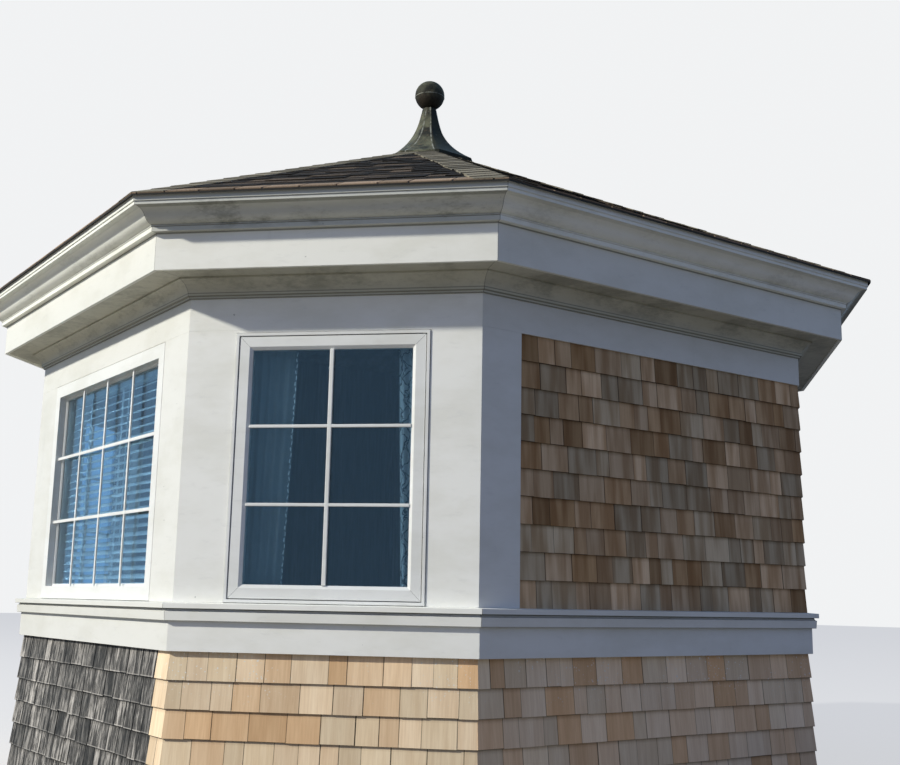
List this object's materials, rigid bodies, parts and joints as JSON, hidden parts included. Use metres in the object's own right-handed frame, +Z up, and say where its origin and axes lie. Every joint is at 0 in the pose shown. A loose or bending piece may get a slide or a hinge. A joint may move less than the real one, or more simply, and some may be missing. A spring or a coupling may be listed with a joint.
{
  "type": "shingled turret dormer",
  "caption": "Octagonal shingled dormer with fixed windows, a moulded box cornice, a water table, a flared skirt, and a low hipped roof with a ball finial.",
  "frame": {"origin": "centre of the underside, on the level face that the walls stand on", "axes": "+Z up; -Y out of the front face with the large window; +X to the right of it"},
  "size_m": [5.041, 5.041, 4.5544],
  "materials": {
    "framing": "planed studs, sheathing and plaster lining",
    "trim_paint": "satin off-white paint on boards, with grime streaks",
    "new_cedar": "sawn cedar shingles, bare and pale",
    "grey_cedar": "sawn cedar shingles, weathered dark grey",
    "roof_shingle": "mineral-faced laminated asphalt shingles",
    "finial_metal": "dull lead-grey and brown patina",
    "window_paint": "satin white factory paint",
    "glass": "clear double glazing",
    "blind_slat": "off-white slats and tapes",
    "curtain_cloth": "pale semi-sheer curtain cloth",
    "rod_metal": "plain tube",
    "floor_wood": "bare floor boards and joists"
  },
  "bodies": {
    "root": {"back_corner_walls": "framing", "back_wall": "framing", "bed_moulding_corners": "trim_paint", "bed_moulding_sides": "trim_paint", "crown_moulding_corners": "trim_paint", "crown_moulding_sides": "trim_paint", "curtain_rods": "rod_metal", "curtains": "curtain_cloth", "fascia_board_corners": "trim_paint", "fascia_board_sides": "trim_paint", "finial_ball": "finial_metal", "finial_bell": "finial_metal", "floor_deck": "floor_wood", "floor_joists": "floor_wood", "frieze_board_corners": "trim_paint", "frieze_board_sides": "trim_paint", "front_blind": "blind_slat", "front_boards": "trim_paint", "front_corner_boards": "trim_paint", "front_corner_walls": "framing", "front_skirt_shingles": "grey_cedar", "front_wall": "framing", "hip_caps": "roof_shingle", "roof_frame_corners": "framing", "roof_frame_sides": "framing", "roof_post": "framing", "roof_shingles_corners": "roof_shingle", "roof_shingles_sides": "roof_shingle", "side_end_boards": "trim_paint", "side_walls": "framing", "skirt_shingles_corners": "new_cedar", "skirt_shingles_sides": "new_cedar", "soffit_board_corners": "trim_paint", "soffit_board_sides": "trim_paint", "wall_shingles_corners": "new_cedar", "wall_shingles_sides": "new_cedar", "water_table_apron_corners": "trim_paint", "water_table_apron_sides": "trim_paint", "water_table_board_corners": "trim_paint", "water_table_board_sides": "trim_paint", "water_table_cap_corners": "trim_paint", "water_table_cap_sides": "trim_paint", "window_frames": "window_paint", "window_glass": "glass", "window_sashes": "window_paint"}
  },
  "joints": []
}
